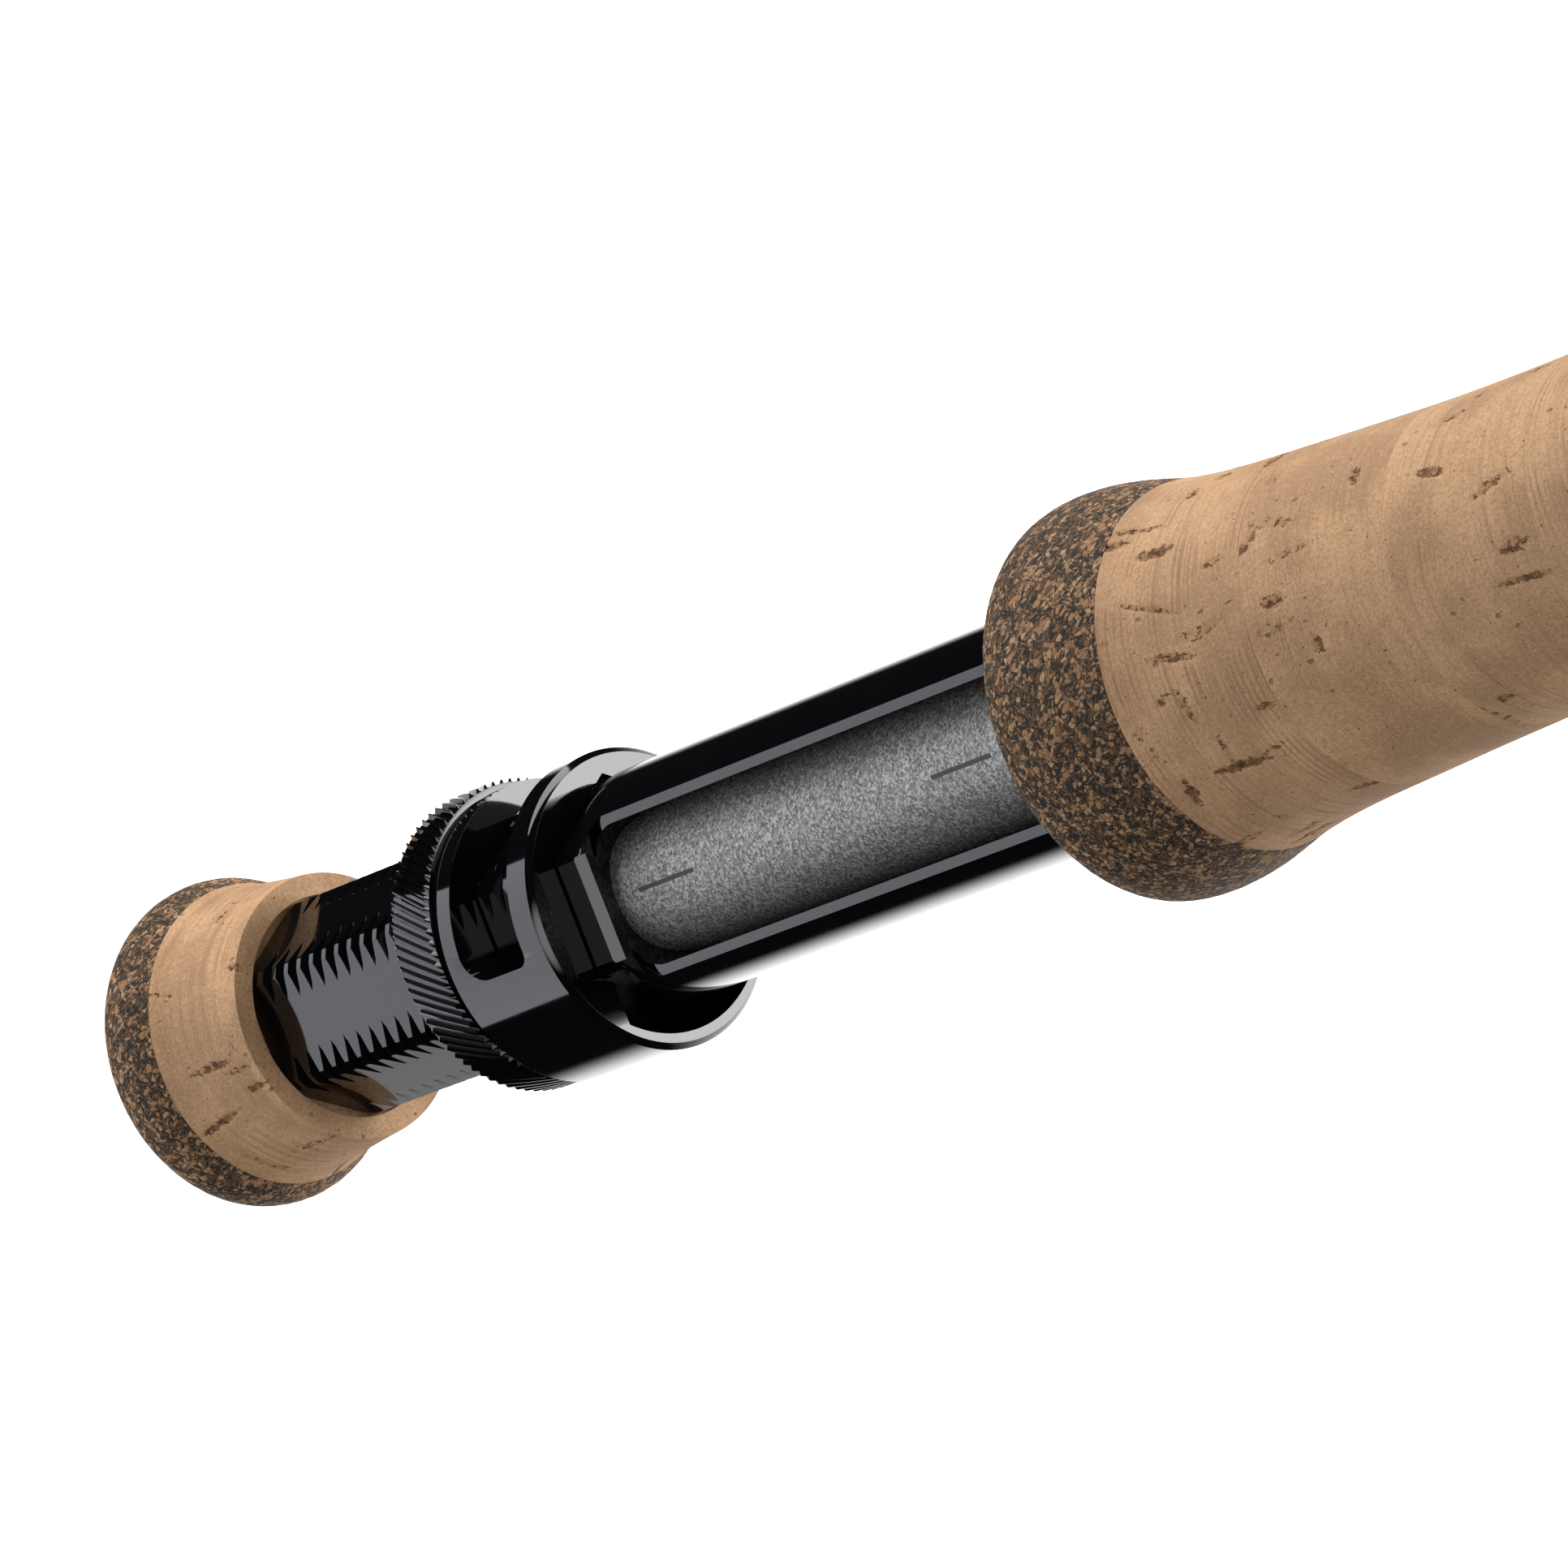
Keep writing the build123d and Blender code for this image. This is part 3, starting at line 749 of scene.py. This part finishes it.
class RodBuildButt(bpy.types.Operator):
    """Builds the fighting butt: a rubberised cap and a natural cork ring"""

    bl_idname = "rod.build_butt"
    bl_label = "Fighting Butt"

    def execute(self, context):
        settings = context.scene.rod_cork
        low, line = span("butt_burl")
        top = span("butt_cork")[1]
        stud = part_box("butt_stud")[1].x / MM + 0.05
        stud_floor = span("butt_stud")[0] - 0.05
        barrel_start = span("seat_barrel")[0]
        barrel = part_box("seat_barrel")[1].x / MM
        burl = finish_named("burl_cork", burl_finish, settings)
        stations = stations_between(low, line, 2.2)
        radii = outer_radius("butt_burl", np.clip(stations, low + 0.004, line - 0.01))
        floor = [(0.0, low)] + [(radii[0] * share, low) for share in (0.25, 0.5, 0.75)]
        outline = floor + list(zip(radii, stations))
        bore = [(stud, line), (stud, stud_floor), (0.0, stud_floor)]
        radii, stations = zip(*outline)
        piece = turned_cork("butt_burl_turned", stations, radii, bore, burl_relief(3, flat_end=low))
        hand_over(piece, burl, "rod", "burl_cork", "butt_burl")
        cork = cork_of(settings)
        bore = bore_outline((barrel_start, top, barrel + 0.05), (line, barrel_start, stud))
        build_ring("butt_cork", cork, "cork", bore, cork_relief(settings, 40, line, top), reach=0.8)
        return {"FINISHED"}


def cork_of(settings):
    first, after = span("cork_ring_01")
    return finish_named("cork", cork_finish, settings, first, after - first)


class RodBuildGrip(bpy.types.Operator):
    """Builds the grip: cork rings between two rubberised rings"""

    bl_idname = "rod.build_grip"
    bl_label = "Cork Grip"

    def execute(self, context):
        settings = context.scene.rod_cork
        cork, burl = cork_of(settings), finish_named("burl_cork", burl_finish, settings)
        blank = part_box("blank")[1].x / MM + 0.05
        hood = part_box("fixed_hood")[1].x / MM + 0.05
        hood_end = span("fixed_hood")[1] + 0.05
        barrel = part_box("seat_barrel")[1].x / MM + 0.05
        barrel_end = span("seat_barrel")[1] + 0.05
        low, high = span("grip_burl_rear")
        bore = bore_outline(
            (barrel_end, high, blank), (hood_end, barrel_end, barrel), (low, hood_end, hood)
        )
        build_ring("grip_burl_rear", burl, "burl_cork", bore, burl_relief(1), round_low=1.6)
        for index in range(1, 13):
            node = f"cork_ring_{index:02d}"
            low, high = span(node)
            bore = bore_outline((low, high, blank))
            build_ring(node, cork, "cork", bore, cork_relief(settings, index, low, high), reach=2.4)
        low, high = span("grip_burl_front")
        build_ring("grip_burl_front", burl, "burl_cork", bore_outline((low, high, blank)), burl_relief(2))
        return {"FINISHED"}


# ---- Seat metal ---------------------------------------------------------------------------------


def prism(name, corners, low, high):
    """A straight prism between two stations, from corners in millimetres."""
    return joined_loops(name, *([(x, y, z) for x, y in corners] for z in (low, high)))


def window_cutter(name, side, near, far, half_height, corner, low, high, steps=10):
    """A window cutter on one side of the barrel, its outline a rounded rectangle along the rod."""
    outline = []
    for turn, (y, z) in enumerate(((1, 1), (-1, 1), (-1, -1), (1, -1))):
        centre_y = y * (half_height - corner)
        centre_z = (high - corner) if z > 0 else (low + corner)
        for step in range(steps + 1):
            angle = math.pi / 2 * (turn + step / steps)
            outline.append((centre_y + corner * math.cos(angle), centre_z + corner * math.sin(angle)))
    return joined_loops(name, *([(side * x, y, z) for y, z in outline] for x in (near, far)))


def ramp_cutter(side, flat, half_width, station, leg, reach=1.5, past=0.5):
    """A wedge that slopes a flat's front edge down into its window pocket."""
    profile = (
        (flat - leg, station), (flat + reach, station - leg - reach),
        (flat + reach, station + past), (flat - leg, station + past),
    )
    edges = (-half_width, half_width)
    return joined_loops("ramp_cutter", *([(side * x, y, z) for x, z in profile] for y in edges))


def geometry_tree(name, inputs):
    """A Geometry Nodes tree with named inputs, and its socket identifiers."""
    tree = bpy.data.node_groups.new(name, "GeometryNodeTree")
    graph = Graph(tree)
    tree.interface.new_socket("Geometry", in_out="INPUT", socket_type="NodeSocketGeometry")
    keys = {}
    for label, kind in inputs:
        keys[label] = tree.interface.new_socket(label, in_out="INPUT", socket_type=kind).identifier
    tree.interface.new_socket("Geometry", in_out="OUTPUT", socket_type="NodeSocketGeometry")
    source = graph.add("NodeGroupInput").outputs
    return graph, source, keys


def close_tree(graph, geometry, material):
    """Ends a tree in Realize Instances and Set Material."""
    real = graph.add("GeometryNodeRealizeInstances", None, {0: geometry}).outputs[0]
    sockets = {"Geometry": real, "Material": material}
    dressed = graph.add("GeometryNodeSetMaterial", None, sockets).outputs[0]
    graph.add("NodeGroupOutput", None, {0: dressed})


def run_tree(name, graph, keys, values, mesh=None):
    """Runs a tree on a new object and returns the result as a plain mesh."""
    piece = new_object(name, mesh or bpy.data.meshes.new(name))
    modifier = piece.modifiers.new("Nodes", "NODES")
    modifier.node_group = graph.tree
    for label, value in values.items():
        modifier[keys[label]] = value
    plain_mesh(piece)
    return piece


def sweep_tree():
    """A trapezium swept along a helix about Z."""
    graph, source, keys = geometry_tree(
        "helix_sweep",
        (
            ("Radius", "NodeSocketFloat"), ("Turns", "NodeSocketFloat"), ("Rise", "NodeSocketFloat"),
            ("Steps", "NodeSocketInt"), ("Outer Width", "NodeSocketFloat"),
            ("Inner Width", "NodeSocketFloat"), ("Depth", "NodeSocketFloat"),
            ("Material", "NodeSocketMaterial"),
        ),
    )
    spiral = graph.add(
        "GeometryNodeCurveSpiral", None,
        {
            "Resolution": source["Steps"], "Rotations": source["Turns"], "Start Radius": source["Radius"],
            "End Radius": source["Radius"], "Height": source["Rise"],
        },
    ).outputs[0]
    upright = graph.add("GeometryNodeSetCurveNormal", {"mode": "Z_UP"}, {"Curve": spiral}).outputs[0]
    section = graph.add(
        "GeometryNodeCurvePrimitiveQuadrilateral", {"mode": "TRAPEZOID"},
        {
            "Height": source["Depth"], "Bottom Width": source["Outer Width"],
            "Top Width": source["Inner Width"], "Offset": 0.0,
        },
    ).outputs[0]
    turned_section = graph.add(
        "GeometryNodeTransform", None, {"Geometry": section, "Rotation": (0, 0, -math.pi / 2)}
    ).outputs[0]
    sockets = {"Curve": upright, "Profile Curve": turned_section, "Fill Caps": True}
    swept = graph.add("GeometryNodeCurveToMesh", None, sockets).outputs[0]
    close_tree(graph, swept, source["Material"])
    return graph, keys


def thread_cutter(seat, start):
    """The thread's helical groove, as a solid that reaches a little past the crests."""
    graph, keys = sweep_tree()
    crest, depth = seat.thread_crest / MM, seat.thread_depth / MM
    past, root_width, flank = 0.3, 0.2, 0.9
    values = {
        "Radius": (crest - depth + (depth + past) / 2) * MM,
        "Turns": float(seat.thread_turns),
        "Rise": seat.thread_turns * seat.thread_pitch,
        "Steps": 60,
        "Outer Width": (root_width + (depth + past) * flank / depth) * MM,
        "Inner Width": root_width * MM,
        "Depth": (depth + past) * MM,
    }
    groove = run_tree("thread_cutter", graph, keys, values)
    groove.data.transform(Matrix.Translation((0, 0, start * MM)))
    clean(groove.data)
    return groove


class RodBuildBarrel(bpy.types.Operator):
    """Builds the seat barrel: a threaded hexagon behind a round barrel with two side windows"""

    bl_idname = "rod.build_barrel"
    bl_label = "Seat Barrel"

    def execute(self, context):
        seat = context.scene.rod_seat
        low, high = span("seat_barrel")
        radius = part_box("seat_barrel")[1].x / MM
        bore, flats, crest = seat.barrel_bore / MM, seat.hexagon_flat / MM, seat.thread_crest / MM
        hex_end = span("sliding_hood")[1] + seat.shoulder_gap / MM
        window_end = hex_end + seat.window_length / MM
        lead_in, shoulder, front_chamfer, thread_inset = 0.6, 0.3, 0.3, 1.9
        outline = (
            (bore, low), (crest - lead_in, low), (crest, low + lead_in), (crest, hex_end - shoulder),
            (radius, hex_end), (radius, high - front_chamfer), (radius - front_chamfer, high), (bore, high),
        )
        barrel = turned("seat_barrel_milled", outline)
        half_side, past = 8, 4
        for side in range(6):
            angle = math.pi / 3 * side
            out = Vector((math.cos(angle), math.sin(angle)))
            along = Vector((-math.sin(angle), math.cos(angle)))
            depths = (flats, flats + past, flats + past, flats)
            reaches = (-half_side, -half_side, half_side, half_side)
            corners = [out * depth + along * reach for depth, reach in zip(depths, reaches)]
            cut(barrel, prism("flat_cutter", corners, low - 1, hex_end))
        ends = dict(low=hex_end, high=window_end)
        pocket = dict(near=seat.pocket_floor / MM, far=10.0, half_height=6.6, corner=3.6, **ends)
        opening = dict(near=1.0, far=7.0, half_height=5.57, corner=3.0, **ends)
        for side in (-1, 1):
            cut(
                barrel,
                window_cutter("pocket_cutter", side, **pocket),
                window_cutter("window_cutter", side, **opening),
                ramp_cutter(side, flats, half_width=4.2, station=hex_end, leg=0.66),
            )
        break_edges(barrel, seat.edge_break)
        cut(barrel, thread_cutter(seat, low + thread_inset))
        smooth(barrel, math.radians(22), weighted=True)
        hand_over(barrel, anodised(), "rod", "black_anodised", "seat_barrel")
        return {"FINISHED"}


class RodBuildPanel(bpy.types.Operator):
    """Finishes the bead-blasted sleeve that shows in the barrel's windows"""

    bl_idname = "rod.build_panel"
    bl_label = "Window Sleeve"

    def execute(self, context):
        from_hood, dash_length, spacing = 5.4, 6.3, 32.5
        first = span("sliding_hood")[1] + from_hood
        dashes = [(low, low + dash_length) for low in (first, first + spacing)]
        material = finish_named("blasted_grey", panel_finish, context.scene.rod_finish, dashes)
        paint(material, "seat_insert")
        return {"FINISHED"}


class RodBuildNut(bpy.types.Operator):
    """Builds the lock nut from one ridge of its slanted knurl"""

    bl_idname = "rod.build_nut"
    bl_label = "Lock Nut"

    def execute(self, context):
        seat = context.scene.rod_seat
        low, neck_end = span("lock_nut")
        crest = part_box("lock_nut")[1].x / MM
        body_length, bore_gap, neck_wall = 4.6, 0.2, 1.05
        chamfer, rim_drop, rim_inset, bore_break, neck_break = 0.35, 0.06, 0.25, 0.3, 0.15
        body_end, middle = low + body_length, low + body_length / 2
        bore = seat.thread_crest / MM + bore_gap
        neck = bore + neck_wall
        wide_bore, narrow_neck = bore + bore_break, neck - neck_break
        valley = crest - seat.knurl_depth / MM
        rim = valley - rim_inset
        slant = math.tan(seat.knurl_slant) / crest
        count = seat.knurl_count
        step = 2 * math.pi / count
        rows = (
            (bore, bore, low + bore_break), (wide_bore, wide_bore, low), (rim, rim, low),
            (valley, crest - chamfer, low + rim_drop), (valley, crest, low + chamfer),
            (valley, crest, middle), (valley, crest, body_end - chamfer),
            (valley, crest - chamfer, body_end - rim_drop), (rim, rim, body_end), (neck, neck, body_end),
            (neck, neck, neck_end - neck_break), (narrow_neck, narrow_neck, neck_end),
            (wide_bore, wide_bore, neck_end), (bore, bore, neck_end - bore_break), (bore, bore, middle),
        )
        shares = (0.0, 0.36, 0.58, 0.72, 1.0)
        heights = (0.0, 0.0, 1.0, 1.0, 0.0)
        points, faces = [], []
        for inner, outer, station in rows:
            for share, height in zip(shares, heights):
                angle = step * share + slant * (min(max(station, low), body_end) - low)
                reach = inner + (outer - inner) * height
                points.append((reach * math.cos(angle), reach * math.sin(angle), station))
        wide = len(shares)
        for row in range(len(rows)):
            above = (row + 1) % len(rows)
            for column in range(wide - 1):
                first, second = row * wide + column, above * wide + column
                faces.append((first, first + 1, second + 1, second))
        ridge = mesh_of("nut_ridge", np.array(points) * MM, faces)

        graph, source, keys = geometry_tree(
            "ring_of_ridges", (("Count", "NodeSocketInt"), ("Material", "NodeSocketMaterial"))
        )
        sockets = {"Count": source["Count"], "Offset": (0, 0, 0)}
        line = graph.add("GeometryNodeMeshLine", None, sockets).outputs[0]
        index = graph.add("GeometryNodeInputIndex").outputs[0]
        turn = Number(graph, index) * (2 * math.pi) / source["Count"]
        spin = graph.add("ShaderNodeCombineXYZ", None, {2: turn}).outputs[0]
        sockets = {"Points": line, "Instance": source["Geometry"], "Rotation": spin}
        ring = graph.add("GeometryNodeInstanceOnPoints", None, sockets).outputs[0]
        close_tree(graph, ring, source["Material"])
        nut = run_tree("lock_nut_knurled", graph, keys, {"Count": count}, ridge)
        clean(nut.data, 2e-6)
        smooth(nut, math.radians(20))
        hand_over(nut, anodised(), "nut", "black_anodised", "lock_nut")
        return {"FINISHED"}


class RodBuildHoods(bpy.types.Operator):
    """Builds the sliding hood and the fixed hood with their edges broken"""

    bl_idname = "rod.build_hoods"
    bl_label = "Hoods"

    def execute(self, context):
        width = context.scene.rod_seat.edge_break
        for node, body in (("sliding_hood", "hood"), ("fixed_hood", "rod")):
            hood = copy_of_node(node, node + "_milled")
            break_edges(hood, width)
            smooth(hood, math.radians(30), weighted=True)
            hand_over(hood, anodised(), body, "black_anodised", node)
        return {"FINISHED"}


class RodBuildHardware(bpy.types.Operator):
    """Finishes the small hardware: washer, retaining ring, stud, arbors, winding check and keeper wire"""

    bl_idname = "rod.build_hardware"
    bl_label = "Small Hardware"

    def execute(self, context):
        paint(finish_named("black_nylon", nylon_finish), "thrust_washer")
        wire = finish_named("spring_steel", turned_finish, "spring_steel", (0.62, 0.62, 0.64), 0.16)
        paint(wire, "nut_retainer", "hook_keeper")
        bare = finish_named("bare_aluminium", turned_finish, "bare_aluminium", (0.74, 0.74, 0.75), 0.22)
        paint(bare, "butt_stud")
        paint(finish_named("arbor_tape", tape_finish), *(f"blank_arbor_{index}" for index in (1, 2, 3)))
        check = copy_of_node("winding_check", "winding_check_turned")
        break_edges(check, 0.12 * MM)
        smooth(check, math.radians(30), weighted=True)
        hand_over(check, anodised(), "rod", "black_anodised", "winding_check")
        return {"FINISHED"}


class RodBuildBlank(bpy.types.Operator):
    """Finishes the carbon blank and its ground spigot"""

    bl_idname = "rod.build_blank"
    bl_label = "Blank and Spigot"

    def execute(self, context):
        paint(finish_named("carbon_blank", carbon_finish), "blank")
        paint(finish_named("carbon_spigot", ground_carbon_finish), "ferrule_spigot")
        return {"FINISHED"}


class RodBuildBindings(bpy.types.Operator):
    """Finishes the thread bindings of the hook keeper and the ferrule"""

    bl_idname = "rod.build_bindings"
    bl_label = "Thread Bindings"

    def execute(self, context):
        material = finish_named("thread_wrap", thread_finish, context.scene.rod_finish)
        paint(material, "ferrule_wrap", "keeper_wrap_front", "keeper_wrap_rear")
        return {"FINISHED"}


# ---- Stage --------------------------------------------------------------------------------------

LIGHT_CENTRE = Vector((0.0, 0.0, 0.051))

# Bright patches of the room: the side each lies on, and the cosines where it starts and is full.
BACKDROP = ((0.966, -0.259, 0.0), 0.61, 0.94)
GLOW = ((0.70, 0.0, 0.714), 0.84, 0.995)
FRONT = ((-0.70, 0.0, 0.714), 0.93, 0.995)


def patch(graph, direction, side, start, full):
    """How bright a patch of the room is in a direction, from 0 to 1."""
    node = graph.add("ShaderNodeVectorMath", {"operation": "DOT_PRODUCT"}, {0: direction, 1: side})
    return Number(graph, node.outputs["Value"]).ramp(start, full)


def soft_light(name, direction, distance, width, height, radiance, tint=(1, 1, 1), centre=LIGHT_CENTRE):
    """A rectangular soft light that faces the seat from a direction."""
    light = bpy.data.lights.new(name, "AREA")
    light.shape = "RECTANGLE"
    light.size, light.size_y = width, height
    light.energy = radiance * width * height * 4
    light.color = tint
    lamp = bpy.data.objects.new(name, light)
    bpy.context.scene.collection.objects.link(lamp)
    back = Vector(direction).normalized()
    side = Vector((0, 0, 1)).cross(back).normalized()
    up = back.cross(side)
    place = centre + back * distance
    lamp.matrix_world = Matrix.Translation(place) @ Matrix((side, up, back)).transposed().to_4x4()
    lamp.visible_camera = False


class RodBuildStage(bpy.types.Operator):
    """Sets the plain floor, the soft studio light and the camera"""

    bl_idname = "rod.build_stage"
    bl_label = "Studio Stage"

    def execute(self, context):
        studio = context.scene.rod_studio
        scene = context.scene
        size = 6.0
        corners = [(-size, -size, 0), (size, -size, 0), (size, size, 0), (-size, size, 0)]
        floor = new_object("floor", mesh_of("floor", corners, [(0, 1, 2, 3)]))
        white = bpy.data.materials.new("studio_floor")
        white.use_nodes = True
        g = Graph(white.node_tree)
        shader = g.add(
            "ShaderNodeBsdfPrincipled", None,
            {
                "Base Color": (0.9, 0.9, 0.9), "Roughness": 0.9,
                "Emission Color": (1, 1, 1), "Emission Strength": 1.0,
            },
        )
        g.add("ShaderNodeOutputMaterial", None, {0: shader.outputs[0]})
        floor.data.materials.append(white)
        floor.visible_glossy = False
        floor.visible_diffuse = False
        floor.visible_shadow = False

        world = bpy.data.worlds.new("studio_room")
        scene.world = world
        world.use_nodes = True
        g = Graph(world.node_tree)
        path = g.add("ShaderNodeLightPath").outputs
        seen = Number(g, path["Is Camera Ray"])
        diffuse = Number(g, path["Is Diffuse Ray"])
        gloss = 1.0 - seen.either(diffuse)
        towards = g.add("ShaderNodeTexCoord").outputs["Generated"]
        sockets = {0: towards, 1: (1, 1, 0)}
        level = g.add("ShaderNodeVectorMath", {"operation": "MULTIPLY"}, sockets).outputs[0]
        level = g.add("ShaderNodeVectorMath", {"operation": "NORMALIZE"}, {0: level}).outputs[0]
        reflected = 0.008 + patch(g, level, *BACKDROP) * studio.backdrop
        reflected = reflected + patch(g, towards, *GLOW) * studio.glow
        reflected = reflected + patch(g, towards, *FRONT) * studio.front
        strength = seen * 1.05 + diffuse * studio.fill + gloss * reflected
        background = g.add("ShaderNodeBackground", None, {0: (1, 1, 1), 1: strength}).outputs[0]
        g.add("ShaderNodeOutputWorld", None, {0: background})

        lean = math.radians(8)
        cool = (0.95, 0.985, 1.06)
        below = (-0.70 * math.cos(lean), 0.70 * math.sin(lean), -0.714)
        soft_light("soft_box", below, 0.5, 0.68, 0.5, studio.box, tint=cool)
        near_nut = Vector((0, 0, 0.011))
        soft_light("key_light", (0.05, 0.97, 0.05), 0.5, 0.45, 0.45, studio.key, centre=near_nut)

        camera = bpy.data.cameras.new("camera")
        camera.lens, camera.sensor_width = 169.39, 36.0
        camera.clip_start, camera.clip_end = 0.01, 20.0
        shot = bpy.data.objects.new("camera", camera)
        scene.collection.objects.link(shot)
        right = Vector((0.66467, -0.36477, 0.65204))
        up = Vector((0.26039, 0.93110, 0.25545))
        back = Vector((-0.70029, 0.0, 0.71385))
        shot.matrix_world = (
            Matrix.Translation((-0.3793, 0.0036, 0.45735)) @ Matrix((right, up, back)).transposed().to_4x4()
        )
        scene.camera = shot
        scene.view_settings.view_transform = "Standard"
        return {"FINISHED"}


class RodPanel(bpy.types.Panel):
    """Lists the rod's pieces and their settings"""

    bl_idname = "VIEW3D_PT_rod"
    bl_label = "Fly Rod Handle"
    bl_space_type = "VIEW_3D"
    bl_region_type = "UI"
    bl_category = "Fly Rod"

    def draw(self, context):
        layout = self.layout
        for operator in BUILD_ORDER:
            layout.operator(operator.bl_idname)
        for group in SETTINGS:
            settings = getattr(context.scene, group)
            box = layout.box()
            for key in settings.__annotations__:
                box.prop(settings, key)


SETTINGS = {
    "rod_seat": RodSeatSettings,
    "rod_cork": RodCorkSettings,
    "rod_finish": RodFinishSettings,
    "rod_studio": RodStudioSettings,
}
BUILD_ORDER = (
    RodBuildButt,
    RodBuildBarrel,
    RodBuildPanel,
    RodBuildNut,
    RodBuildHoods,
    RodBuildGrip,
    RodBuildHardware,
    RodBuildBlank,
    RodBuildBindings,
    RodBuildStage,
)


def register():
    for group in (*SETTINGS.values(), *BUILD_ORDER, RodPanel):
        bpy.utils.register_class(group)
    for name, group in SETTINGS.items():
        setattr(bpy.types.Scene, name, PointerProperty(type=group))


def unregister():
    for name in SETTINGS:
        delattr(bpy.types.Scene, name)
    for group in reversed((*SETTINGS.values(), *BUILD_ORDER, RodPanel)):
        bpy.utils.unregister_class(group)


def main():
    register()
    for operator in BUILD_ORDER:
        module, name = operator.bl_idname.split(".")
        getattr(getattr(bpy.ops, module), name)()


if __name__ == "__main__":
    main()
